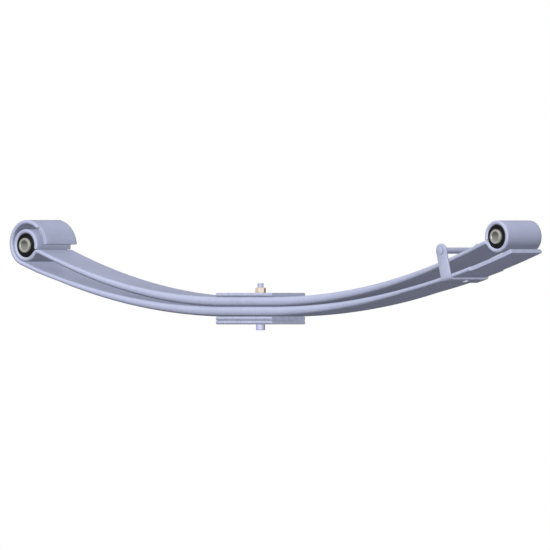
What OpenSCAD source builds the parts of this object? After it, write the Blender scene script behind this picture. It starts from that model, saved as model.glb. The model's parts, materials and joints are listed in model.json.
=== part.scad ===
// Two-leaf parabolic leaf spring with rolled eyes, a military wrap, rubber bushes and a rebound clip.
// X runs along the spring, from the left eye to the right eye. Y runs across it and +Z points up.
// The origin is on the centre bolt's axis, at the underside of the lowest plate.
// Angles are in degrees and lengths in millimetres.

/* [Leaves] */
// Width of both leaves
leaf_w = 63.5; // [55:0.5:70]
// Thickness of each leaf at the centre clamp
leaf_t = 12.5; // [11:0.5:14]
// Thickness of the main leaf at its ends, and the wall of its eyes
main_end_t = 5.3; // [5:0.1:5.6]
// Thickness of the second leaf at its ends, and the wall of its wrap
second_end_t = 5.3; // [5:0.1:5.4]

/* [Arms] */
// Distance from the centre bolt to the left eye
left_len = 385; // [380:1:390]
// Height of the left eye's centre above the lowest plate's underside
left_eye_z = 100; // [96:1:104]
// Distance from the centre bolt to the right eye
right_len = 446; // [442:1:450]
// Height of the right eye's centre above the lowest plate's underside
right_eye_z = 111; // [108:1:114]
// Length of the second leaf's right arm, to its square tip
tip_len = 468.4; // [466:0.2:472]
// Height of the top of that tip above the lowest plate's underside
tip_z = 95.2; // [92:0.2:96]

/* [Eyes] */
// Bore of the rolled eyes
eye_bore_d = 30.5; // [29.5:0.5:31]
// Radius of the knuckle that leads into an eye, along the middle of the leaf
knuckle_r = 8; // [6:0.5:10]
// Outer radius of the second leaf's wrap round the left eye
wrap_r = 29.3; // [29.3:0.1:31]
// Outer radius of the wrap's last quarter, which opens out over the eye
tail_r = 34; // [30:0.5:36]
// Height of the wrap's end above the eye's centre
tail_rise = 1.2; // [0:0.1:3]
// Height of the wrap's centre above the eye's centre
wrap_lift = 2.8; // [2.4:0.1:2.8]
// Distance from the eye's centre to the wrap's centre, towards the middle of the spring
wrap_shift = 1; // [0:0.1:1]

/* [Bushes] */
// Length of the inner sleeve
sleeve_len = 67; // [66:0.5:70]
// Outer diameter of the inner sleeve
sleeve_d = 18.5; // [17:0.5:20]
// Bore of the inner sleeve, for the shackle or hanger bolt
sleeve_bore_d = 12.2; // [12:0.1:12.6]
// Length of the rubber, over its end lips
rubber_len = 62; // [60:0.5:63]
// Length of the outer shell pressed into the eye
shell_len = 57; // [50:0.5:58]
// Wall of the outer shell
shell_t = 1.3; // [1:0.1:1.6]

/* [Centre pack] */
// Length of the plates along the spring
plate_len = 98.4; // [90:0.2:104]
// Width of the plates
plate_w = 62; // [55:0.5:63.5]
// Thickness of each plate
plate_t = 5; // [4:0.5:6]
// Diameter of the centre bolt's shank
bolt_d = 8; // [8:1:10]
// Diameter of the centre bolt's locating head
head_d = 11.5; // [11:0.5:16]
// Height of the locating head
head_h = 7.3; // [5:0.1:9]
// Length of the bolt above the top plate
stub_h = 12.3; // [9:0.1:15]
// Nut size across its flats
nut_af = 12; // [11:1:14]
// Height of the nut
nut_h = 6.8; // [6:0.1:8]

/* [Rebound clip] */
// Distance from the centre bolt to the clip's rivet, along X
clip_x = 360; // [350:1:370]
// Width of the clip's strap
strap_w = 18; // [15:0.5:22]
// Thickness of the strap
strap_t = 2.8; // [2.5:0.1:4]
// Height of the cross bolt above the second leaf's underside
cross_h = 37.1; // [35:0.1:40]
// Diameter of the cross bolt
cross_d = 6; // [5:1:6]
// Outer diameter of the tube on the cross bolt
tube_d = 8; // [8:0.5:9]
// Diameter of the rivet's shank
rivet_d = 5.5; // [5:0.5:6]

/* [Hidden] */
$fn = 96;

STEEL = "lightsteelblue";
RUBBER = "#262626";
ZINC = "#bdbdb2";
NUT = "bisque";

far = 200;         // longer than any piece that it cuts
fit = 0.05;        // radial clearance of a bush in its eye, and of a sleeve in its rubber
slack = 0.2;       // radial clearance of a bolt in its hole
stand_off = 0.2;   // gap between the clip and the leaf that it is riveted to
spot_h = 0.3;      // depth of the spot faces that the centre bolt's head and its nut bear on
seam = 0.2;        // between the end of a rolled eye and the knuckle under it
steps = 36;        // straight stretches that make up each arm's curve

// Heights of the faces in the centre pack
second_z = 2 * plate_t;
main_z = second_z + leaf_t;
top_plate_z = main_z + leaf_t;
pack_top = top_plate_z + plate_t;
clamp_half = plate_len / 2;

eye_bore_r = eye_bore_d / 2;
eye_mid_r = eye_bore_r + main_end_t / 2;
eye_r = eye_bore_r + main_end_t;
wrap_mid_r = wrap_r - second_end_t / 2;

// An arm of a leaf, measured outwards from the centre bolt. Its top face is flat as far as "flat", then a
// parabola as far as "reach". Its thickness falls with the square root of the distance to "taper_len".
// [flat, reach, curve, taper_len, end_t, top_z]
main_left = curved_arm(43, left_len - 30, left_len, left_eye_z, 0, left_len, main_end_t, top_plate_z);
main_right = curved_arm(54, right_len - 30, right_len, right_eye_z, -0.4, right_len, main_end_t,
                        top_plate_z);
second_left = curved_arm(44, left_len - 20, left_len - wrap_shift, left_eye_z + wrap_lift, wrap_mid_r,
                         left_len, second_end_t, main_z);
second_right = [46.5, tip_len, (tip_z - main_z) / pow(tip_len - 46.5, 2), 335, second_end_t, main_z];

// The arm whose end runs straight on past (x, z), with its middle "below" that point
function curved_arm(flat, reach, x, z, below, taper_len, end_t, top_z) =
    let (run = reach - flat, reach_on = pow(run, 2) + 2 * run * (x - reach), rise = z - top_z,
         lean = norm([1, 2 * run * rise / reach_on]))
    [flat, reach, (rise + (end_t / 2 - below) * lean) / reach_on, taper_len, end_t, top_z];

function arm_top(arm, x) = [x, arm[5] + arm[2] * pow(max(0, x - arm[0]), 2)];
function arm_lean(arm, x) = 2 * arm[2] * max(0, x - arm[0]);
function arm_up(arm, x) = [-arm_lean(arm, x), 1] / norm([1, arm_lean(arm, x)]);
function arm_t(arm, x) = x < clamp_half ? leaf_t
    : max(arm[4], leaf_t * sqrt(max(0, arm[3] - x) / (arm[3] - clamp_half)));
function arm_under(arm, x) = arm_top(arm, x) - arm_t(arm, x) * arm_up(arm, x);
function arm_end_angle(arm) = atan(arm_lean(arm, arm[1]));
function arm_end_middle(arm) = arm_top(arm, arm[1]) - arm[4] / 2 * arm_up(arm, arm[1]);

function backwards(points) = [for (i = [len(points) - 1:-1:0]) points[i]];
function mirrored(points) = [for (p = points) [-p.x, p.y]];
function arc(centre, r, from, to) =
    let (n = ceil(abs(to - from) / 5))
    [for (i = [0:n]) let (a = from + (to - from) * i / n) centre + r * [cos(a), sin(a)]];

// One side of a leaf, from the centre out along its top, round its end and back along its underside
function leaf_side(arm, end) = concat([for (i = [1:steps]) arm_top(arm, arm[1] * i / steps)], end,
                                      [for (i = [steps:-1:1]) arm_under(arm, arm[1] * i / steps)]);
function leaf_outline(left, right) = concat(right, backwards(mirrored(left)));

// A rolled eye round (x, z), with the knuckle that leads to it. The strip dips under the eye, rolls round
// it and ends on top of the knuckle. Its inner side is drawn inside the bore, which is cut out later.
function rolled_eye(arm, x, z) =
    let (angle = arm_end_angle(arm), way = [x, z] - arm_end_middle(arm),
         above = way * [-sin(angle), cos(angle)],
         back = sqrt(pow(eye_mid_r + knuckle_r, 2) - pow(above + knuckle_r, 2)),
         knuckle = [x, z] - back * [cos(angle), sin(angle)]
                   - (above + knuckle_r) * [-sin(angle), cos(angle)],
         dip = atan2(above + knuckle_r, back), half_t = main_end_t / 2,
         knuckle_rise = sqrt(pow(knuckle_r + half_t, 2) - pow(back - eye_r, 2)) - knuckle_r - above,
         start = angle + 180 + dip, stop = angle + 540 - asin((knuckle_rise + seam) / eye_r))
    concat(arc(knuckle, knuckle_r + half_t, angle + 90, angle + dip + 6),
           arc([x, z], 0.8 * eye_bore_r, start, stop), arc([x, z], eye_r, stop, start),
           arc(knuckle, knuckle_r - half_t, angle + dip, angle + 90));

// The wrap round (x, z). Its last quarter, on its inner side, has its own centre straight below.
function wrap(arm, x, z) =
    let (start = 270 + arm_end_angle(arm), tail = [x, z + wrap_r - tail_r], wall = second_end_t,
         stop = 540 - asin((left_eye_z + tail_rise - tail.y) / (tail_r - wall / 2)))
    concat(arc([x, z], wrap_r - wall, start, 450), arc(tail, tail_r - wall, 455, stop),
           arc(tail, tail_r, stop, 455), arc([x, z], wrap_r, 450, start));

// A flat side view, drawn in X and Z, made as wide as "width" across Y
module across(width) {
    rotate([90, 0, 0]) linear_extrude(height = width, center = true) children();
}

// A cylinder of radius r along Y, centred over the origin
module rod(r, length) {
    rotate([90, 0, 0]) cylinder(r = r, h = length, center = true);
}

module centre_hole() {
    translate([0, 0, -far / 2]) cylinder(r = bolt_d / 2 + slack, h = far);
}

module main_leaf() {
    color(STEEL) difference() {
        across(leaf_w) polygon(leaf_outline(
            leaf_side(main_left, rolled_eye(main_left, left_len, left_eye_z)),
            leaf_side(main_right, rolled_eye(main_right, right_len, right_eye_z))));
        at_left_eye() rod(eye_bore_r, leaf_w + 2);
        at_right_eye() rod(eye_bore_r, leaf_w + 2);
        centre_hole();
    }
}

// The sides of both ends are sheared, inside the rolled edges. The back of the wrap is sheared from its top.
trim_from = 397.5;
trim = 3.7;
wrap_trim_top = 22.6;     // height above the eye's centre that the front of the wrap is sheared up to

module second_leaf() {
    color(STEEL) difference() {
        across(leaf_w) polygon(leaf_outline(
            leaf_side(second_left, wrap(second_left, left_len - wrap_shift, left_eye_z + wrap_lift)),
            leaf_side(second_right, [])));
        centre_hole();
        at_clip() cylinder(r = rivet_d / 2 + fit, h = far, center = true);
        for (side = [-1, 1])
            translate([trim_from + far / 2, side * (leaf_w / 2 - trim + far / 2), tip_z])
                cube([far, far, far], center = true);
        translate([wrap_shift - left_len, 0, left_eye_z]) {
            translate([0, trim - leaf_w / 2 - far, 0]) cube([2 * wrap_r, far, wrap_trim_top]);
            translate([0, leaf_w / 2 - trim, 0]) cube([2 * wrap_r, far, 2 * wrap_r]);
        }
    }
}

module plate(z) {
    color(STEEL) difference() {
        translate([-plate_len / 2, -plate_w / 2, z]) cube([plate_len, plate_w, plate_t]);
        centre_hole();
    }
}

// A spot face leaves the rest of the plate clear of the head or nut, for what the plate is clamped to
head_spot_d = head_d + 1.5;
nut_spot_d = nut_af / cos(30) + 1.5;
collar_d = head_d - 0.6;   // bearing face of the head, inside its spot face
nut_turn = -7;             // from a corner on the X axis

module top_plate() {
    color(STEEL) difference() {
        plate(top_plate_z);
        translate([0, 0, pack_top - spot_h]) cylinder(d = nut_spot_d, h = far);
    }
}

module upper_bottom_plate() plate(plate_t);

module lower_bottom_plate() {
    color(STEEL) difference() {
        plate(0);
        translate([0, 0, spot_h - far]) cylinder(d = head_spot_d, h = far);
    }
}

module centre_bolt() {
    color(STEEL) {
        translate([0, 0, -head_h]) cylinder(d = head_d, h = head_h);
        cylinder(d = collar_d, h = spot_h);
        cylinder(d = bolt_d, h = pack_top + stub_h);
    }
}

module centre_nut() {
    color(NUT) translate([0, 0, pack_top - spot_h]) difference() {
        rotate([0, 0, nut_turn]) cylinder(d = nut_af / cos(30), h = nut_h, $fn = 6);
        translate([0, 0, -1]) cylinder(d = bolt_d, h = nut_h + 2);
    }
}

module at_left_eye() translate([-left_len, 0, left_eye_z]) children();
module at_right_eye() translate([right_len, 0, right_eye_z]) children();

rubber_r = eye_bore_r - fit - shell_t;
lip_r = eye_bore_r - fit;

module bush_shell() {
    color(STEEL) difference() {
        rod(lip_r, shell_len);
        rod(rubber_r, shell_len + 2);
    }
}

// The rubber fills the shell, and its end lips cover the shell's ends
module bush_rubber() {
    color(RUBBER) difference() {
        union() {
            rod(rubber_r, rubber_len);
            for (side = [-1, 1])
                translate([0, side * (rubber_len + shell_len) / 4, 0])
                    rod(lip_r, (rubber_len - shell_len) / 2);
        }
        rod(sleeve_d / 2 + fit, rubber_len + 2);
    }
}

module bush_sleeve() {
    color(ZINC) difference() {
        rod(sleeve_d / 2, sleeve_len);
        rod(sleeve_bore_d / 2, sleeve_len + 2);
    }
}

module left_bush_shell() at_left_eye() bush_shell();
module left_bush_rubber() at_left_eye() bush_rubber();
module left_bush_sleeve() at_left_eye() bush_sleeve();
module right_bush_shell() at_right_eye() bush_shell();
module right_bush_rubber() at_right_eye() bush_rubber();
module right_bush_sleeve() at_right_eye() bush_sleeve();

// The clip's own frame: X along the second leaf, Z square to it, with its origin on the leaf's underside
clip_angle = atan(arm_lean(second_right, clip_x));
clip_place = arm_under(second_right, clip_x);
ear_gap = 0.4;                       // between the main leaf's edge and an ear
strap_in = leaf_w / 2 + ear_gap;     // half the distance between the ears
strap_out = strap_in + strap_t;
bend_r = 6.3;                        // outer radius of the strap's bends
bend_in_r = 0.8;                     // inner radius of those bends, clear of the leaf's edges
cross_shift = -0.5;                  // of the cross bolt along the leaf, from the rivet

module at_clip() {
    translate([clip_place.x, 0, clip_place.y]) rotate([0, -clip_angle, 0]) children();
}

// The strap's end view: a U whose two lower corners are bent round
module strap_profile(reach, depth, r) {
    polygon(concat([[reach, 2 * cross_h], [-reach, 2 * cross_h]],
                   [for (a = [180:9:270]) [-reach + r + r * cos(a), -depth + r + r * sin(a)]],
                   [for (a = [270:9:360]) [reach - r + r * cos(a), -depth + r + r * sin(a)]]));
}

module clip_strap() {
    strap_z = -stand_off;
    color(STEEL) at_clip() difference() {
        intersection() {
            rotate([90, 0, 90]) linear_extrude(height = strap_w, center = true) difference() {
                strap_profile(strap_out, strap_t - strap_z, bend_r);
                strap_profile(strap_in, -strap_z, bend_in_r);
            }
            across(2 * far) translate([cross_shift, 0]) {
                translate([0, cross_h]) circle(d = strap_w);
                translate([-strap_w / 2, -far]) square([strap_w, far + cross_h]);
            }
        }
        translate([cross_shift, 0, cross_h]) rod(cross_d / 2 + slack, 2 * far);
        cylinder(r = rivet_d / 2, h = far, center = true);
    }
}

rivet_head_d = 8.7;
rivet_head_h = 2.2;

// A shallow dome that stands on z = 0
module dome(d, h) {
    ball_r = (pow(d / 2, 2) + pow(h, 2)) / (2 * h);
    rotate_extrude() intersection() {
        translate([0, h - ball_r]) circle(r = ball_r);
        square([d, h]);
    }
}

module clip_rivet() {
    leaf_top = arm_t(second_right, clip_x) + stand_off;
    strap_under = -strap_t - stand_off;
    color(STEEL) at_clip() {
        translate([0, 0, strap_under]) cylinder(d = rivet_d, h = leaf_top - strap_under);
        translate([0, 0, leaf_top]) dome(rivet_head_d, rivet_head_h);
        translate([0, 0, strap_under]) mirror([0, 0, 1]) dome(rivet_head_d, rivet_head_h);
    }
}

cross_head_d = 11;
cross_head_h = 3;
cross_nut_h = 5;
cross_end = 1.5;     // of the bolt past its nut

module at_cross() at_clip() translate([cross_shift, 0, cross_h]) children();

module clip_bolt() {
    color(STEEL) at_cross() rotate([90, 0, 0]) {
        translate([0, 0, -strap_out - cross_nut_h - cross_end])
            cylinder(d = cross_d, h = 2 * strap_out + cross_nut_h + cross_end);
        translate([0, 0, strap_out]) cylinder(d = cross_head_d, h = cross_head_h);
    }
}

module clip_tube() {
    color(STEEL) at_cross() difference() {
        rod(tube_d / 2, 2 * strap_in);
        rod(cross_d / 2 + slack, 2 * strap_in + 2);
    }
}

module clip_nut() {
    color(STEEL) at_cross() rotate([-90, 0, 0]) translate([0, 0, strap_out]) difference() {
        cylinder(d = 10 / cos(30), h = cross_nut_h, $fn = 6);
        translate([0, 0, -1]) cylinder(d = cross_d, h = cross_nut_h + 2);
    }
}

main_leaf();
second_leaf();
top_plate();
upper_bottom_plate();
lower_bottom_plate();
centre_bolt();
centre_nut();
left_bush_shell();
left_bush_rubber();
left_bush_sleeve();
right_bush_shell();
right_bush_rubber();
right_bush_sleeve();
clip_strap();
clip_rivet();
clip_bolt();
clip_tube();
clip_nut();
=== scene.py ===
"""Looks of a two-leaf parabolic leaf spring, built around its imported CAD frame.

Lengths are in millimetres until a mesh is made, and X, Y and Z are the frame's own.
"""
import json
import math

import bmesh
import bpy
from mathutils import Matrix, Vector


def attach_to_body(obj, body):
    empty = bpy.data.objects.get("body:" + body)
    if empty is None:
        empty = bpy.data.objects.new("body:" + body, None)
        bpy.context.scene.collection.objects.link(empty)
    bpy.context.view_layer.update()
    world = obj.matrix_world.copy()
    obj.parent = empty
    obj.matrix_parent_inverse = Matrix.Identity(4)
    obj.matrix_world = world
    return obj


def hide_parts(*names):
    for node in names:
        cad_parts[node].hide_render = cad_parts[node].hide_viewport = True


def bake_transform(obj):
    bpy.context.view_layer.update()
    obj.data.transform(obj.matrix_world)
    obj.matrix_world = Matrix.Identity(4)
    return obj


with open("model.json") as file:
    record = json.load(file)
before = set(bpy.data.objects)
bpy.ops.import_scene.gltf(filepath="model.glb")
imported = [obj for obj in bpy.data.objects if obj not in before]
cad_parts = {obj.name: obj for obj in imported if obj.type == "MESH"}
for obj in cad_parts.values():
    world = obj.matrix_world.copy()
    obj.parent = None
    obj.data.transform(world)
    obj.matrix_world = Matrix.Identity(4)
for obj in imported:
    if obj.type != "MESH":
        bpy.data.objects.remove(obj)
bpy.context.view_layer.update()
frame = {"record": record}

MM = 0.001
SHARP = math.radians(33)

# ---------------------------------------------------------------- sizes

LEAF_HALF = 31.75
LEAF_T = 12.5
END_T = 5.3
CLAMP_HALF = 49.2
PLATE_T = 5.0
PLATE_HALF = 31.0
SECOND_Z = 2 * PLATE_T
MAIN_Z = SECOND_Z + LEAF_T
TOP_Z = MAIN_Z + LEAF_T
PACK_TOP = TOP_Z + PLATE_T

EYE_BORE_R = 15.25
EYE_MID_R = EYE_BORE_R + END_T / 2
KNUCKLE_R = 8.0
WRAP_MID_R = 29.3 - END_T / 2
TAIL_MID_R = 34 - END_T / 2
TAIL_RISE = 1.2
TAIL_TRIM_TOP = 22.6
WRAP_SHIFT = 1.0
WRAP_LIFT = 2.8
SEAM = 0.2

MAIN_LEFT_FLAT = 43           # where each arm stops being flat, outwards from the centre bolt
MAIN_RIGHT_FLAT = 54
SECOND_LEFT_FLAT = 44
SECOND_RIGHT_FLAT = 46.5
SECOND_RIGHT_TAPER = 335      # where the second leaf's right arm would taper to nothing
EYE_RUN = 30                  # how far before an eye's centre the main leaf stops curving
WRAP_RUN = 20                 # the same for the second leaf and the wrap
RIGHT_EYE_DROP = -0.4         # how far below the right eye's centre the main leaf's middle passes

TIP_LEN = 468.4
TIP_Z = 95.2
TRIM_FROM = 397.5
TRIM_RUN = 1.7
TRIM_CLEAR = 4
TRIM_HALF = 28.05

ROUND = 0.47                  # radius of a rolled edge, as a share of the thickness
BACK_ROUND = 0.42             # the same for the back edge of a narrowed part
SHEAR_R = 0.45                # radius of a sheared edge
SHEAR_INSET_R = 0.3           # the same at a bevelled end
END_BEVEL = 0.45
FLAT_STEPS = 10
ARC_STEPS = 6

MOUNTS = {m["name"]: m for m in frame["record"]["mounts"]}
LEFT_LEN = -MOUNTS["left_eye_bore"]["pos_m"][0] / MM
LEFT_Z = MOUNTS["left_eye_bore"]["pos_m"][2] / MM
RIGHT_LEN = MOUNTS["right_eye_bore"]["pos_m"][0] / MM
RIGHT_Z = MOUNTS["right_eye_bore"]["pos_m"][2] / MM


class Arm:
    """One arm of a leaf, measured outwards from the centre bolt."""

    def __init__(self, flat, reach, curve, taper_len, top_z):
        self.flat = flat
        self.reach = reach
        self.curve = curve
        self.taper_len = taper_len
        self.top_z = top_z

    def top(self, x):
        return Vector((x, self.top_z + self.curve * max(0.0, x - self.flat) ** 2))

    def lean(self, x):
        return 2 * self.curve * max(0.0, x - self.flat)

    def up(self, x):
        return Vector((-self.lean(x), 1.0)).normalized()

    def thick(self, x):
        if x < CLAMP_HALF:
            return LEAF_T
        left = max(0.0, self.taper_len - x) / (self.taper_len - CLAMP_HALF)
        return max(END_T, LEAF_T * math.sqrt(left))

    def middle(self, x):
        return self.top(x) - self.up(x) * self.thick(x) / 2

    def under(self, x):
        return self.top(x) - self.up(x) * self.thick(x)

    def end_angle(self):
        return math.atan(self.lean(self.reach))


def aimed_arm(flat, reach, x, z, below, taper_len, top_z):
    """The arm whose end runs straight on past (x, z), with its middle "below" that point."""
    run = reach - flat
    reach_on = run ** 2 + 2 * run * (x - reach)
    rise = z - top_z
    lean = math.hypot(1.0, 2 * run * rise / reach_on)
    curve = (rise + (END_T / 2 - below) * lean) / reach_on
    return Arm(flat, reach, curve, taper_len, top_z)


MAIN_LEFT = aimed_arm(MAIN_LEFT_FLAT, LEFT_LEN - EYE_RUN, LEFT_LEN, LEFT_Z, 0.0, LEFT_LEN, TOP_Z)
MAIN_RIGHT = aimed_arm(MAIN_RIGHT_FLAT, RIGHT_LEN - EYE_RUN, RIGHT_LEN, RIGHT_Z, RIGHT_EYE_DROP,
                       RIGHT_LEN, TOP_Z)
SECOND_LEFT = aimed_arm(SECOND_LEFT_FLAT, LEFT_LEN - WRAP_RUN, LEFT_LEN - WRAP_SHIFT, LEFT_Z + WRAP_LIFT,
                        WRAP_MID_R, LEFT_LEN, MAIN_Z)
SECOND_RIGHT = Arm(SECOND_RIGHT_FLAT, TIP_LEN, (TIP_Z - MAIN_Z) / (TIP_LEN - SECOND_RIGHT_FLAT) ** 2,
                   SECOND_RIGHT_TAPER, MAIN_Z)


# ---------------------------------------------------------------- materials

PAINT_BUMP = 0.2
SPECK_SCALE = 2600            # fine specks per metre of surface
ROUGH_SPREAD = 0.08           # how far a finish's roughness varies either way
STREAK_DEPTH = 0.0002         # bump heights are in metres
SPECK_DEPTH = 0.00006
RING_DEPTH = 0.00005
RING_PITCH = 0.00045          # between turning marks


def make_material(name):
    material = bpy.data.materials.new(name)
    material.use_nodes = True
    tree = material.node_tree
    tree.nodes.clear()
    return material, tree


def add(tree, kind, links=None, **values):
    """A node with its inputs set, or linked where links gives an output socket."""
    made = tree.nodes.new(kind)
    for key, value in values.items():
        setattr(made, key, value)
    for key, value in (links or {}).items():
        if isinstance(value, bpy.types.NodeSocket):
            tree.links.new(value, made.inputs[key])
        else:
            made.inputs[key].default_value = value
    return made


def finished(material, tree, shader, kind="ShaderNodeOutputMaterial"):
    """Joins the shader to an output, and gives back what it belongs to."""
    output = add(tree, kind)
    tree.links.new(shader.outputs[0], output.inputs[0])
    return material


def stretched(tree, scale):
    """Object coordinates in metres, stretched by the scale along each axis."""
    place = add(tree, "ShaderNodeTexCoord")
    return add(tree, "ShaderNodeMapping", {"Vector": place.outputs["Object"], "Scale": scale}).outputs[0]


def noise(tree, scale, detail=3.0, rough=0.5):
    return add(tree, "ShaderNodeTexNoise", {"Vector": stretched(tree, scale), "Scale": 1.0,
                                            "Detail": detail, "Roughness": rough}).outputs["Fac"]


def ranged(tree, value, low, high, start=0.3, stop=0.7):
    """The value's span from start to stop, spread from low to high."""
    return add(tree, "ShaderNodeMapRange", {"Value": value, "From Min": start, "From Max": stop,
                                            "To Min": low, "To Max": high}).outputs[0]


def mixed(tree, factor, first, second):
    """Colour first where the factor is 0, second where it is 1."""
    mix = tree.nodes.new("ShaderNodeMix")
    mix.data_type = "RGBA"
    for socket, value in ((mix.inputs[0], factor), (mix.inputs[6], first), (mix.inputs[7], second)):
        if isinstance(value, bpy.types.NodeSocket):
            tree.links.new(value, socket)
        else:
            socket.default_value = value
    return mix.outputs[2]


def shade(colour, by):
    return [c * by for c in colour] + [1.0]


def surface(name, colour, roughness, metallic=0.0, grain=(40, 900, 900), blotch=0.06, wear=0.25,
            worn=(0.62, 0.64, 0.72)):
    """Painted or bare metal: cloudy tone, streaks along the grain, fine bump and brighter worn edges."""
    material, tree = make_material(name)
    cloud = noise(tree, (22, 22, 22), 4.0)
    streak = noise(tree, grain, 3.0, 0.55)
    speck = noise(tree, (SPECK_SCALE, SPECK_SCALE, SPECK_SCALE), 2.0)
    tone = mixed(tree, ranged(tree, cloud, 0.0, 1.0), shade(colour, 1 - blotch), shade(colour, 1 + blotch))
    streaked = mixed(tree, ranged(tree, streak, 0.0, 0.5), tone, shade(colour, 1 - 1.6 * blotch))
    edge = add(tree, "ShaderNodeAttribute", attribute_name="edge").outputs["Fac"]
    patch = ranged(tree, noise(tree, (160, 160, 160), 5.0, 0.65), 0.0, 1.0, 0.42, 0.62)
    rubbed = add(tree, "ShaderNodeMath", {0: edge, 1: patch}, operation="MULTIPLY").outputs[0]
    amount = add(tree, "ShaderNodeMath", {0: rubbed, 1: wear}, operation="MULTIPLY").outputs[0]
    final = mixed(tree, amount, streaked, [*worn, 1.0])
    rough = ranged(tree, streak, roughness - ROUGH_SPREAD, roughness + ROUGH_SPREAD)
    coarse = add(tree, "ShaderNodeBump", {"Strength": PAINT_BUMP, "Distance": STREAK_DEPTH,
                                          "Height": streak})
    grainy = add(tree, "ShaderNodeBump", {"Strength": PAINT_BUMP, "Distance": SPECK_DEPTH,
                                          "Height": speck, "Normal": coarse.outputs[0]})
    shader = add(tree, "ShaderNodeBsdfPrincipled", {
        "Base Color": final, "Roughness": rough, "Metallic": metallic, "Normal": grainy.outputs[0]})
    return finished(material, tree, shader)


def turned(name, colour, roughness, centre):
    """Turned metal: fine rings round an axis along Y through the centre, in metres."""
    material, tree = make_material(name)
    place = add(tree, "ShaderNodeTexCoord").outputs["Object"]
    off = add(tree, "ShaderNodeVectorMath", {0: place, 1: centre}, operation="SUBTRACT").outputs[0]
    flat = add(tree, "ShaderNodeVectorMath", {0: off, 1: (1, 0, 1)}, operation="MULTIPLY").outputs[0]
    far = add(tree, "ShaderNodeVectorMath", {0: flat}, operation="LENGTH").outputs["Value"]
    phase = add(tree, "ShaderNodeMath", {0: far, 1: math.tau / RING_PITCH}, operation="MULTIPLY").outputs[0]
    ring = add(tree, "ShaderNodeMath", {0: phase}, operation="SINE").outputs[0]
    cloud = noise(tree, (90, 90, 90), 4.0)
    tone = mixed(tree, ranged(tree, cloud, 0.0, 1.0), shade(colour, 0.9), shade(colour, 1.08))
    ringed = mixed(tree, ranged(tree, ring, 0.0, 0.25, -1.0, 1.0), tone, shade(colour, 0.78))
    rough = ranged(tree, cloud, roughness - 0.06, roughness + 0.08)
    bump = add(tree, "ShaderNodeBump", {"Strength": 0.3, "Distance": RING_DEPTH, "Height": ring})
    shader = add(tree, "ShaderNodeBsdfPrincipled", {
        "Base Color": ringed, "Roughness": rough, "Metallic": 0.5, "Normal": bump.outputs[0]})
    return finished(material, tree, shader)


def rubber_material():
    """Black rubber, with a grey bloom in patches and a fine moulded grain."""
    material, tree = make_material("bush_rubber")
    cloud = noise(tree, (120, 120, 120), 5.0, 0.6)
    dust = ranged(tree, cloud, 0.0, 0.55, 0.45, 0.75)
    colour = mixed(tree, dust, (0.008, 0.008, 0.009, 1), (0.026, 0.026, 0.028, 1))
    speck = noise(tree, (1800, 1800, 1800), 3.0)
    bump = add(tree, "ShaderNodeBump", {"Strength": 0.35, "Distance": 0.00015, "Height": speck})
    rough = ranged(tree, cloud, 0.42, 0.62)
    shader = add(tree, "ShaderNodeBsdfPrincipled", {
        "Base Color": colour, "Roughness": rough, "Specular IOR Level": 0.45, "Normal": bump.outputs[0]})
    return finished(material, tree, shader)


STEEL = surface("spring_paint", (0.400, 0.430, 0.590), 0.42)
PLATE = surface("plate_paint", (0.385, 0.415, 0.570), 0.38, grain=(300, 60, 900), blotch=0.05)
# The bolt's paint is lighter than the spring's, partly as a painted highlight on its head and stub.
BOLT = surface("bolt_paint", (0.47, 0.49, 0.68), 0.34, grain=(500, 500, 120), wear=0.35)
CLIP = surface("clip_paint", (0.395, 0.42, 0.575), 0.36, grain=(500, 120, 500), wear=0.3)
NUT = surface("nut_plating", (0.74, 0.63, 0.52), 0.38, metallic=0.15, grain=(600, 600, 200),
              worn=(0.8, 0.76, 0.7), wear=0.4)
RUBBER = rubber_material()
SLEEVE_COLOUR = (0.60, 0.60, 0.56)
SLEEVE_ROUGHNESS = 0.40


# ---------------------------------------------------------------- mesh helpers

def section(t, half, radius, back_half=None, back_radius=None):
    """A bar's cross-section as (y, height) points: flat faces, with rounded front and back edges."""
    back_half = half if back_half is None else back_half
    back_radius = radius if back_radius is None else back_radius
    h = t / 2
    front_y = -(half - radius)
    back_y = back_half - back_radius
    points = []
    for i in range(FLAT_STEPS + 1):
        points.append((front_y + (back_y - front_y) * i / FLAT_STEPS, h))
    for i in range(1, ARC_STEPS + 1):
        a = math.pi / 2 * (1 - i / ARC_STEPS)
        points.append((back_y + back_radius * math.cos(a), h - back_radius + back_radius * math.sin(a)))
    for i in range(ARC_STEPS + 1):
        a = -math.pi / 2 * i / ARC_STEPS
        points.append((back_y + back_radius * math.cos(a), back_radius - h + back_radius * math.sin(a)))
    for i in range(1, FLAT_STEPS + 1):
        points.append((back_y + (front_y - back_y) * i / FLAT_STEPS, -h))
    for i in range(1, ARC_STEPS + 1):
        a = -math.pi / 2 * (1 + i / ARC_STEPS)
        points.append((front_y + radius * math.cos(a), radius - h + radius * math.sin(a)))
    for i in range(ARC_STEPS):
        a = math.pi - math.pi / 2 * i / ARC_STEPS
        points.append((front_y + radius * math.cos(a), h - radius + radius * math.sin(a)))
    return points


WELD = 1e-7                   # metres within which points are one
WEAR_ANGLE = math.radians(30)  # an edge this sharp wears fully


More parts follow.
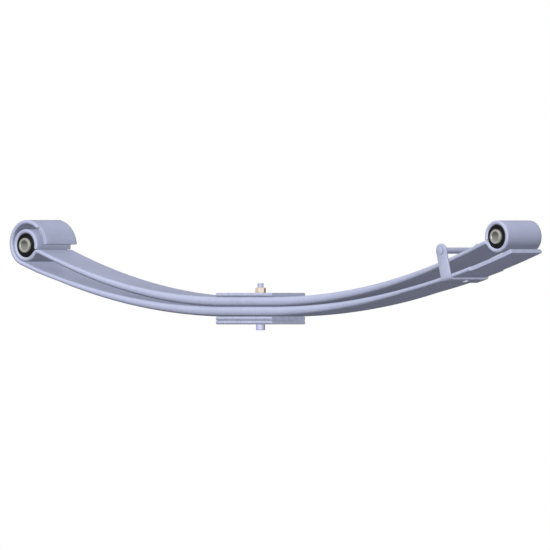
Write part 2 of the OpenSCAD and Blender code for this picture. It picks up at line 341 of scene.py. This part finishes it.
def finish_mesh(name, verts, faces, material, place=None):
    """A mesh object from millimetre points: outward normals, smooth faces and sharp creases."""
    mesh = bpy.data.meshes.new(name)
    made = bmesh.new()
    corners = [made.verts.new((place @ Vector(v) if place else Vector(v)) * MM) for v in verts]
    for face in faces:
        made.faces.new([corners[i] for i in face])
    bmesh.ops.remove_doubles(made, verts=made.verts, dist=WELD)
    bmesh.ops.recalc_face_normals(made, faces=made.faces)
    for face in made.faces:
        face.smooth = True
    for edge in made.edges:
        edge.smooth = not edge.is_manifold or edge.calc_face_angle(0.0) < SHARP
    layer = made.verts.layers.float.new("edge")
    for vert in made.verts:
        turns = [e.calc_face_angle_signed(0.0) for e in vert.link_edges if e.is_manifold]
        vert[layer] = min(1.0, max(0.0, max(turns, default=0.0)) / WEAR_ANGLE)
    made.to_mesh(mesh)
    made.free()
    mesh.materials.append(material)
    obj = bpy.data.objects.new(name, mesh)
    bpy.context.scene.collection.objects.link(obj)
    return obj


def rings_to_mesh(rings, closed=False):
    """Vertices and faces that join rings of equal length, capped unless the rings close on themselves."""
    count = len(rings[0])
    verts = [v for ring in rings for v in ring]
    faces = []
    last = len(rings) if closed else len(rings) - 1
    for i in range(last):
        a = i * count
        b = (i + 1) % len(rings) * count
        for j in range(count):
            k = (j + 1) % count
            faces.append((a + j, a + k, b + k, b + j))
    if not closed:
        faces.append(tuple(range(count))[::-1])
        faces.append(tuple(range((len(rings) - 1) * count, len(rings) * count)))
    return verts, faces


def circle(r, z, steps):
    return [(r * math.cos(math.tau * i / steps), r * math.sin(math.tau * i / steps), z) for i in range(steps)]


def lathe(profile, steps=72, loop=False):
    """Turns (radius, height) points round Z. A loop of points makes a tube, an open line a solid."""
    return rings_to_mesh([circle(max(r, 1e-4), z, steps) for r, z in profile], loop)


def attach(obj, body, node):
    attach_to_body(obj, body)
    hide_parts(node)


# ---------------------------------------------------------------- leaves

def sweep(stations, side):
    """Rings of a leaf from stations (middle, up, section), with x growing outwards on that side."""
    rings = []
    for middle, up, points in stations:
        rings.append([(side * (middle.x + up.x * h), y, middle.y + up.y * h) for y, h in points])
    return rings


def full(t):
    return section(t, LEAF_HALF, ROUND * t)


def arm_stations(arm, steps=72, shape=None):
    """Stations along an arm. With a shape, some of them lie where the leaf narrows."""
    stations = []
    xs = [arm.reach * i / steps for i in range(steps + 1)]
    if shape is not None:
        first = TRIM_FROM - TRIM_CLEAR
        last = TRIM_FROM + TRIM_RUN + TRIM_CLEAR
        xs = sorted([x for x in xs if not first < x < last] + [first, TRIM_FROM, TRIM_FROM + TRIM_RUN, last])
    for x in xs:
        t = arm.thick(x)
        stations.append((arm.middle(x), arm.up(x), shape(x, t) if shape else full(t)))
    return stations


def arc_stations(centre, r, start, stop, outward, step=5.0):
    """Stations round a centre. The strip's upper side faces outwards, or the centre if outward is -1."""
    count = max(2, math.ceil(abs(stop - start) / math.radians(step)))
    stations = []
    for i in range(count + 1):
        a = start + (stop - start) * i / count
        way = Vector((math.cos(a), math.sin(a)))
        stations.append((centre + r * way, outward * way, full(END_T)))
    return stations


def bevel_end(stations, shape):
    """Adds a small bevel round the last station's end."""
    middle, up, _ = stations[-1]
    before = stations[-2][0]
    along = Vector((up.y, -up.x))
    if along.dot(middle - before) < 0:
        along = -along
    stations[-1] = (middle - along * END_BEVEL, up, stations[-1][2])
    stations.append((middle, up, shape(END_BEVEL)))


def rolled_eye(arm, eye):
    """Stations of the knuckle and the rolled eye round its centre."""
    angle = arm.end_angle()
    along = Vector((math.cos(angle), math.sin(angle)))
    up = Vector((-math.sin(angle), math.cos(angle)))
    above = (eye - arm.middle(arm.reach)).dot(up)
    back = math.sqrt((EYE_MID_R + KNUCKLE_R) ** 2 - (above + KNUCKLE_R) ** 2)
    knuckle = eye - back * along - (above + KNUCKLE_R) * up
    dip = math.atan2(above + KNUCKLE_R, back)
    half_t = END_T / 2
    eye_r = EYE_BORE_R + END_T
    rise = math.sqrt((KNUCKLE_R + half_t) ** 2 - (back - eye_r) ** 2) - KNUCKLE_R - above
    start = angle + math.pi + dip
    stop = angle + 3 * math.pi - math.asin((rise + SEAM) / eye_r)
    stations = arc_stations(knuckle, KNUCKLE_R, angle + math.pi / 2, angle + dip, 1, 7.0)
    stations += arc_stations(eye, EYE_MID_R, start, stop, -1)[1:]
    return stations


def inset_full(cut):
    t = END_T - 2 * cut
    return section(t, LEAF_HALF - cut, ROUND * t)


def leaf_piece(name, stations, side, node):
    verts, faces = rings_to_mesh(sweep(stations, side))
    obj = finish_mesh(name, verts, faces, STEEL)
    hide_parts(node)
    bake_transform(obj)


def tip_shape(x, t):
    if x <= TRIM_FROM:
        return full(t)
    return section(t, TRIM_HALF, SHEAR_R, TRIM_HALF, BACK_ROUND * t)


def tip_inset(cut):
    t = END_T - 2 * cut
    return section(t, TRIM_HALF - cut, SHEAR_INSET_R, TRIM_HALF - cut, BACK_ROUND * t)


left_eye = Vector((LEFT_LEN, LEFT_Z))
right_eye = Vector((RIGHT_LEN, RIGHT_Z))
wrap_centre = Vector((LEFT_LEN - WRAP_SHIFT, LEFT_Z + WRAP_LIFT))

main_left = arm_stations(MAIN_LEFT) + rolled_eye(MAIN_LEFT, left_eye)
bevel_end(main_left, inset_full)
leaf_piece("main_leaf_left_half", main_left, -1, "main_leaf")

main_right = arm_stations(MAIN_RIGHT) + rolled_eye(MAIN_RIGHT, right_eye)
bevel_end(main_right, inset_full)
leaf_piece("main_leaf_right_half", main_right, 1, "main_leaf")

TOP_TURN = 2.5 * math.pi      # the wrap's angle at its top, measured from outwards along X
BACK_SHEAR_TURN = 0.07        # how far past the top the back edge is sheared
TAIL_STEPS = 24


def tail_stations():
    """The wrap's last quarter. Its back is sheared from near the top, its front only near the end."""
    centre = wrap_centre + Vector((0, WRAP_MID_R - TAIL_MID_R))
    front = 3 * math.pi - math.asin((LEFT_Z + TAIL_TRIM_TOP - centre.y) / TAIL_MID_R)
    back = TOP_TURN + BACK_SHEAR_TURN
    stop = 3 * math.pi - math.asin((LEFT_Z + TAIL_RISE - centre.y) / TAIL_MID_R)
    run = TRIM_RUN / TAIL_MID_R
    angles = [TOP_TURN + (stop - TOP_TURN) * i / TAIL_STEPS for i in range(1, TAIL_STEPS + 1)]
    angles = [a for a in angles if abs(a - front - run / 2) > run and abs(a - back - run / 2) > run]
    angles = sorted(angles + [front, front + run, back, back + run])
    stations = []
    for a in angles:
        way = Vector((math.cos(a), math.sin(a)))
        half, r = (LEAF_HALF, ROUND * END_T) if a <= front + 1e-6 else (TRIM_HALF, SHEAR_R)
        back_half = LEAF_HALF if a <= back + 1e-6 else TRIM_HALF
        points = section(END_T, half, r, back_half, BACK_ROUND * END_T)
        stations.append((centre + TAIL_MID_R * way, -way, points))
    return stations


def tail_inset(cut):
    t = END_T - 2 * cut
    return section(t, TRIM_HALF - cut, SHEAR_INSET_R, TRIM_HALF - cut, 0.4 * t)


wrap_start = 1.5 * math.pi + SECOND_LEFT.end_angle()
second_left = arm_stations(SECOND_LEFT) + arc_stations(wrap_centre, WRAP_MID_R, wrap_start, TOP_TURN, -1)
second_left += tail_stations()
bevel_end(second_left, tail_inset)
leaf_piece("second_leaf_left_half", second_left, -1, "second_leaf")

second_right = arm_stations(SECOND_RIGHT, 78, tip_shape)
bevel_end(second_right, tip_inset)
leaf_piece("second_leaf_right_half", second_right, 1, "second_leaf")


# ---------------------------------------------------------------- centre pack

PLATE_ROUND = 0.44            # radius of a plate's long edges, as a share of its thickness
PLATE_BEVEL = 0.4


def bar(name, z, node):
    """A flat plate of the pack, with its long edges rolled round and its ends sheared."""
    stations = []
    for x, cut in ((-CLAMP_HALF, PLATE_BEVEL), (PLATE_BEVEL - CLAMP_HALF, 0),
                   (CLAMP_HALF - PLATE_BEVEL, 0), (CLAMP_HALF, PLATE_BEVEL)):
        points = section(PLATE_T - 2 * cut, PLATE_HALF - cut, PLATE_ROUND * (PLATE_T - 2 * cut))
        stations.append((Vector((x, z + PLATE_T / 2)), Vector((0, 1)), points))
    verts, faces = rings_to_mesh(sweep(stations, 1))
    attach(finish_mesh(name, verts, faces, PLATE), "seat", node)


bar("top_plate_bar", TOP_Z, "top_plate")
bar("upper_bottom_plate_bar", PLATE_T, "upper_bottom_plate")
bar("lower_bottom_plate_bar", 0, "lower_bottom_plate")


THREAD_DEPTH = 0.28           # as a share of the pitch
THREAD_ROWS = 10              # rings in one turn of thread
THREAD_SWING = 0.85           # over 0.5, so that crests and roots are flat
THREAD_POINT = 0.2            # how far below the root the end's chamfer starts


def threaded_rod(r, pitch, bottom, top, lead, steps=48):
    """Rings of a rod along Z whose thread starts at lead, with a chamfer at its top."""
    root = r - THREAD_DEPTH * pitch
    rings = [circle(r, z, steps) for z in (bottom, lead)]
    rows = math.ceil((top - lead) / pitch * THREAD_ROWS)
    for row in range(1, rows + 1):
        z = lead + (top - lead) * row / rows
        ring = []
        for i in range(steps):
            turn = i / steps
            wave = 0.5 + THREAD_SWING * math.cos(math.tau * (z / pitch - turn))
            deep = min(1.0, (z - lead) / pitch)
            wall = r - (r - root) * deep * (1 - min(1.0, max(0.0, wave)))
            wall = min(wall, root - THREAD_POINT + (top - z))
            ring.append((wall * math.cos(math.tau * turn), wall * math.sin(math.tau * turn), z))
        rings.append(ring)
    return rings


NUT_STEPS = 96
NUT_ROWS = 8                  # rings in each chamfer
NUT_FACE = 0.96               # radius of the round face, as a share of the half width
NUT_CONE = math.tan(math.radians(28))
NUT_SINK = 0.6                # countersink at both ends of the bore


def hex_nut(af, bore, height, turn):
    """Mesh of a hexagon nut along Z with chamfers above and below and a countersunk bore."""
    corner = af / 2 / math.cos(math.pi / 6)
    face = af / 2 * NUT_FACE

    def wall(angle, z):
        flat = af / 2 / math.cos((angle - turn) % (math.pi / 3) - math.pi / 6)
        edge = min(z, height - z)
        return min(flat, face + edge / NUT_CONE)

    drop = (corner - face) * NUT_CONE
    heights = [drop * i / NUT_ROWS for i in range(NUT_ROWS + 1)]
    heights += [height - drop * i / NUT_ROWS for i in range(NUT_ROWS, -1, -1)]
    angles = [math.tau * i / NUT_STEPS for i in range(NUT_STEPS)]
    rings = [[(wall(a, z) * math.cos(a), wall(a, z) * math.sin(a), z) for a in angles] for z in heights]
    for r, z in ((bore + NUT_SINK, height), (bore, height - NUT_SINK), (bore, NUT_SINK),
                 (bore + NUT_SINK, 0.0)):
        rings.append(circle(r, z, NUT_STEPS))
    return rings_to_mesh(rings, True)


BOLT_R = 4.0
HEAD_R = 5.75
HEAD_H = 7.3
STUB_H = 12.3
NUT_AF = 12.0
NUT_H = 6.8
SPOT_H = 0.3
NUT_TURN = math.radians(-7)
BOLT_PITCH = 1.25
STUB_TOP = PACK_TOP + STUB_H

head = [(0, -HEAD_H), (HEAD_R - 1.0, -HEAD_H), (HEAD_R - 0.45, -HEAD_H + 0.15), (HEAD_R, -HEAD_H + 0.7),
        (HEAD_R, -0.3), (HEAD_R - 0.3, 0), (HEAD_R - 0.3, SPOT_H), (BOLT_R, SPOT_H), (BOLT_R, 1.0), (0, 1.0)]
head_verts, head_faces = lathe(head)
rod_verts, rod_faces = rings_to_mesh(threaded_rod(BOLT_R, BOLT_PITCH, 1.0, STUB_TOP, PACK_TOP - 2))
bolt_faces = head_faces + [tuple(i + len(head_verts) for i in face) for face in rod_faces]
attach(finish_mesh("centre_bolt_detail", head_verts + rod_verts, bolt_faces, BOLT),
       "seat", "centre_bolt")

nut_verts, nut_faces = hex_nut(NUT_AF, BOLT_R, NUT_H, NUT_TURN)
nut_place = Matrix.Translation((0, 0, PACK_TOP - SPOT_H))
attach(finish_mesh("centre_nut_detail", nut_verts, nut_faces, NUT, nut_place),
       "seat", "centre_nut")


# ---------------------------------------------------------------- bushes

SLEEVE_HALF = 33.5
SLEEVE_R = 9.25
SLEEVE_BORE_R = 6.1
RUBBER_HALF = 31.0
SHELL_HALF = 28.5
SHELL_T = 1.3
FIT = 0.05
LIP_R = EYE_BORE_R - FIT
CORE_R = LIP_R - SHELL_T

ALONG_Y = Matrix.Rotation(math.pi / 2, 4, "X")


def both_ends(outer):
    """A tube's profile, from the points of its upper half, outer wall first and bore last."""
    return outer + [(r, -y) for r, y in reversed(outer)]


def bush(side, arm, x, z):
    place = Matrix.Translation((x, 0, z)) @ ALONG_Y
    shell = both_ends([(LIP_R, 0), (LIP_R, SHELL_HALF - 0.3), (LIP_R - 0.3, SHELL_HALF),
                       (CORE_R + 0.3, SHELL_HALF), (CORE_R, SHELL_HALF - 0.3), (CORE_R, 0)])
    verts, faces = lathe(shell, loop=True)
    attach(finish_mesh(side + "_shell_tube", verts, faces, PLATE, place), arm, side + "_bush_shell")
    hole = SLEEVE_R + FIT
    rubber = both_ends([
        (CORE_R - 0.02, 0), (CORE_R - 0.02, SHELL_HALF), (LIP_R, SHELL_HALF), (LIP_R, RUBBER_HALF - 0.9),
        (LIP_R - 0.25, RUBBER_HALF - 0.35), (LIP_R - 0.8, RUBBER_HALF), (LIP_R - 1.9, RUBBER_HALF),
        (LIP_R - 2.3, RUBBER_HALF - 0.35), (hole + 1.4, RUBBER_HALF - 0.35), (hole + 1.0, RUBBER_HALF - 0.05),
        (hole + 0.35, RUBBER_HALF - 0.15), (hole, RUBBER_HALF - 0.6), (hole, 0)])
    verts, faces = lathe(rubber, 96, loop=True)
    attach(finish_mesh(side + "_rubber_ring", verts, faces, RUBBER, place), arm, side + "_bush_rubber")
    sleeve = both_ends([
        (SLEEVE_R, 0), (SLEEVE_R, SLEEVE_HALF - 0.7), (SLEEVE_R - 0.5, SLEEVE_HALF),
        (SLEEVE_BORE_R + 0.5, SLEEVE_HALF), (SLEEVE_BORE_R, SLEEVE_HALF - 0.5), (SLEEVE_BORE_R, 0)])
    verts, faces = lathe(sleeve, 96, loop=True)
    metal = turned(side + "_sleeve_metal", SLEEVE_COLOUR, SLEEVE_ROUGHNESS, (x * MM, 0, z * MM))
    attach(finish_mesh(side + "_sleeve_tube", verts, faces, metal, place), side + "_sleeve",
           side + "_bush_sleeve")


bush("left", "left_arm", -LEFT_LEN, LEFT_Z)
bush("right", "right_arm", RIGHT_LEN, RIGHT_Z)


# ---------------------------------------------------------------- rebound clip

CLIP_X = 360.0
STRAP_HALF = 8.75
STRAP_MID = -0.25
STRAP_T = 2.8
STRAP_IN = LEAF_HALF + 0.4
STRAP_OUT = STRAP_IN + STRAP_T
STRAP_CORNER = 0.55
BEND_R = 6.3
BEND_STEPS = 8
EAR_STEPS = 13
EAR_STOP = 86                 # degrees of the ear's round end, which is flat beyond
STAND_OFF = 0.2
CROSS_H = 37.1
CROSS_SHIFT = -0.5
CROSS_R = 3.0
TUBE_R = 4.0

clip_lean = math.atan(SECOND_RIGHT.lean(CLIP_X))
clip_foot = SECOND_RIGHT.under(CLIP_X)
CLIP_PLACE = (Matrix.Translation((clip_foot.x, 0, clip_foot.y))
              @ Matrix.Rotation(-clip_lean, 4, "Y"))


def strap_section(half, steps=3):
    """A strap's cross-section as (along the leaf, through the strap) points."""
    corner = min(STRAP_CORNER, half * 0.8)
    h = STRAP_T / 2
    points = []
    for sx, sy, first in ((1, 1, 0), (-1, 1, 90), (-1, -1, 180), (1, -1, 270)):
        for i in range(steps + 1):
            a = math.radians(first + 90 * i / steps)
            points.append((sx * (half - corner) + corner * math.cos(a),
                           sy * (h - corner) + corner * math.sin(a)))
    return points


def strap_rings():
    """Rings of the strap, down one ear, round the base and up the other ear."""
    mid_y = STRAP_IN + STRAP_T / 2
    mid_z = -STAND_OFF - STRAP_T / 2
    bend = BEND_R - STRAP_T / 2
    half_path = []            # (y, z, outward normal, half width) from the base up the back ear
    for y in (0.0, 8.0, 16.0, mid_y - bend - 2):
        half_path.append((y, mid_z, (0.0, -1.0), STRAP_HALF))
    for i in range(BEND_STEPS + 1):
        a = math.radians(-90 + 90 * i / BEND_STEPS)
        half_path.append((mid_y - bend + bend * math.cos(a), mid_z + bend + bend * math.sin(a),
                          (math.cos(a), math.sin(a)), STRAP_HALF))
    for z in (8.0, 14.0, 20.0, 26.0, 31.0):
        half_path.append((mid_y, z, (1.0, 0.0), STRAP_HALF))
    for i in range(EAR_STEPS + 1):
        a = math.radians(EAR_STOP * i / EAR_STEPS)
        half_path.append((mid_y, CROSS_H + STRAP_HALF * math.sin(a), (1.0, 0.0), STRAP_HALF * math.cos(a)))
    path = [(-y, z, (-n[0], n[1]), w) for y, z, n, w in reversed(half_path[1:])] + half_path
    rings = []
    for y, z, n, w in path:
        rings.append([(STRAP_MID + u, y + n[0] * v, z + n[1] * v) for u, v in strap_section(w)])
    return rings


verts, faces = rings_to_mesh(strap_rings())
attach(finish_mesh("clip_strap_detail", verts, faces, CLIP, CLIP_PLACE),
       "right_arm", "clip_strap")


def dome(r, h, base, rim, steps=8):
    """Profile of a low domed head that stands on base, from its rim up to its crown."""
    ball = (r ** 2 + (h - rim) ** 2) / (2 * (h - rim))
    top = math.asin(r / ball)
    points = [(r - 0.15, base), (r, base + 0.15)]
    for i in range(steps + 1):
        a = top * (1 - i / steps)
        points.append((ball * math.sin(a), base + h - ball * (1 - math.cos(a))))
    return points


RIVET_R = 2.7
RIVET_HEAD_R = 4.35
RIVET_HEAD_H = 2.2
RIVET_RIM = 1.3
leaf_top = SECOND_RIGHT.thick(CLIP_X) + STAND_OFF
strap_under = -STRAP_T - STAND_OFF
upper = dome(RIVET_HEAD_R, RIVET_HEAD_H, leaf_top, RIVET_RIM)
lower = [(r, strap_under - (z - leaf_top)) for r, z in upper]
rivet = list(reversed(lower)) + [(RIVET_R, strap_under), (RIVET_R, leaf_top)] + upper
verts, faces = lathe(rivet, 48)
attach(finish_mesh("clip_rivet_detail", verts, faces, CLIP, CLIP_PLACE),
       "right_arm", "clip_rivet")

CROSS_PLACE = CLIP_PLACE @ Matrix.Translation((CROSS_SHIFT, 0, CROSS_H)) @ ALONG_Y
CROSS_HEAD_R = 5.5
CROSS_HEAD_H = 3.0
CROSS_RIM = 2.3
CROSS_PITCH = 1.0
CROSS_STEPS = 40
CROSS_NUT_H = 5.0
CROSS_END = 1.5
CROSS_NUT_AF = 10.0

back_end = -STRAP_OUT - CROSS_NUT_H - CROSS_END
head_profile = [(0, STRAP_OUT - 1.0), (CROSS_R, STRAP_OUT - 1.0), (CROSS_R, STRAP_OUT)]
head_profile += dome(CROSS_HEAD_R, CROSS_HEAD_H, STRAP_OUT, CROSS_RIM)
head_verts, head_faces = lathe(head_profile, 64)
rod_rings = threaded_rod(CROSS_R, CROSS_PITCH, 1.0 - STRAP_OUT, -back_end, STRAP_OUT - 3.0, CROSS_STEPS)
rod_verts, rod_faces = rings_to_mesh([[(x, y, -z) for x, y, z in ring] for ring in rod_rings])
bolt_faces = head_faces + [tuple(i + len(head_verts) for i in face) for face in rod_faces]
attach(finish_mesh("clip_bolt_detail", head_verts + rod_verts, bolt_faces, CLIP, CROSS_PLACE),
       "right_arm", "clip_bolt")

tube = both_ends([(TUBE_R, 0), (TUBE_R, STRAP_IN - 0.4), (TUBE_R - 0.35, STRAP_IN - 0.05),
                  (CROSS_R + 0.3, STRAP_IN - 0.05), (CROSS_R + 0.2, STRAP_IN - 0.3), (CROSS_R + 0.2, 0)])
verts, faces = lathe(tube, 48, loop=True)
attach(finish_mesh("clip_tube_detail", verts, faces, CLIP, CROSS_PLACE),
       "right_arm", "clip_tube")

verts, faces = hex_nut(CROSS_NUT_AF, CROSS_R, CROSS_NUT_H, 0.0)
nut_place = CROSS_PLACE @ Matrix.Translation((0, 0, -STRAP_OUT - CROSS_NUT_H))
attach(finish_mesh("clip_nut_detail", verts, faces, CLIP, nut_place), "right_arm", "clip_nut")


# ---------------------------------------------------------------- stage, light and camera

def floor_material():
    material, tree = make_material("floor_paper")
    cloud = noise(tree, (3, 3, 3), 2.0)
    colour = mixed(tree, cloud, (0.80, 0.80, 0.80, 1), (0.84, 0.84, 0.84, 1))
    shader = add(tree, "ShaderNodeBsdfPrincipled", {"Base Color": colour, "Roughness": 0.9})
    return finished(material, tree, shader)


FLOOR_HALF = 12.0
floor_mesh = bpy.data.meshes.new("floor")
corners = [(-FLOOR_HALF, -FLOOR_HALF), (FLOOR_HALF, -FLOOR_HALF), (FLOOR_HALF, FLOOR_HALF),
           (-FLOOR_HALF, FLOOR_HALF)]
floor_mesh.from_pydata([(x, y, -HEAD_H * MM) for x, y in corners], [], [(0, 1, 2, 3)])
floor = bpy.data.objects.new("floor", floor_mesh)
floor_mesh.materials.append(floor_material())
bpy.context.scene.collection.objects.link(floor)
floor.visible_diffuse = False
floor.visible_glossy = False


LAMP_DISTANCE = 2
ALL_BOUNCES = 1024


def sun(name, azimuth, elevation, strength, softness, shadow=False, matte=True, glossy=False):
    """A soft light from a direction: azimuth 0 is along -Y and grows towards +X.

    Only a light with a shadow bounces, so that the others light every face on their side evenly.
    """
    lamp = bpy.data.lights.new(name, "SUN")
    lamp.energy = strength
    lamp.use_shadow = shadow
    lamp.angle = math.radians(softness)
    obj = bpy.data.objects.new(name, lamp)
    a = math.radians(azimuth)
    e = math.radians(elevation)
    way = Vector((math.sin(a) * math.cos(e), -math.cos(a) * math.cos(e), math.sin(e)))
    obj.location = way * LAMP_DISTANCE
    obj.rotation_euler = way.to_track_quat("Z", "Y").to_euler()
    obj.visible_diffuse = matte
    obj.visible_glossy = glossy
    lamp.cycles.max_bounces = ALL_BOUNCES if shadow else 0
    bpy.context.scene.collection.objects.link(obj)


sun("key", 26, 34, 4.3, 8)
sun("gleam", 36, 8, 1.6, 14, matte=False, glossy=True)
sun("fill", 215, 3, 1.2, 40)
sun("under", 80, -58, 1.15, 40)
sun("top", 20, 75, 0.12, 40, shadow=True, glossy=True)

# The camera sees a pale backdrop, and the object is lit by a dim sky.
world = bpy.data.worlds.new("studio")
world.use_nodes = True
tree = world.node_tree
tree.nodes.clear()
direction = add(tree, "ShaderNodeTexCoord").outputs["Generated"]
height = add(tree, "ShaderNodeSeparateXYZ", {"Vector": direction}).outputs["Z"]
seen = ranged(tree, height, 0.80, 1.0, -0.05, -0.004)
sky = ranged(tree, height, 0.04, 0.17, -0.1, 0.1)
direct = add(tree, "ShaderNodeLightPath").outputs["Is Camera Ray"]
glow = add(tree, "ShaderNodeMix", {0: direct, 2: sky, 3: seen}).outputs[0]
background = add(tree, "ShaderNodeBackground", {"Color": (1, 1, 1, 1), "Strength": glow})
bpy.context.scene.world = finished(world, tree, background, "ShaderNodeOutputWorld")
bpy.context.scene.view_settings.view_transform = "Standard"

VIEW_WIDTH = 0.69575
AIM = Vector((0.01311, 0.01274, 0.0625))
VIEW_AZIMUTH = math.radians(44.2)
CAMERA_DISTANCE = 8

lens = bpy.data.cameras.new("camera")
lens.type = "ORTHO"
lens.ortho_scale = VIEW_WIDTH
camera = bpy.data.objects.new("camera", lens)
toward = Vector((math.sin(VIEW_AZIMUTH), -math.cos(VIEW_AZIMUTH), 0))
camera.location = AIM + toward * CAMERA_DISTANCE
camera.rotation_euler = toward.to_track_quat("Z", "Y").to_euler()
bpy.context.scene.collection.objects.link(camera)
bpy.context.scene.camera = camera
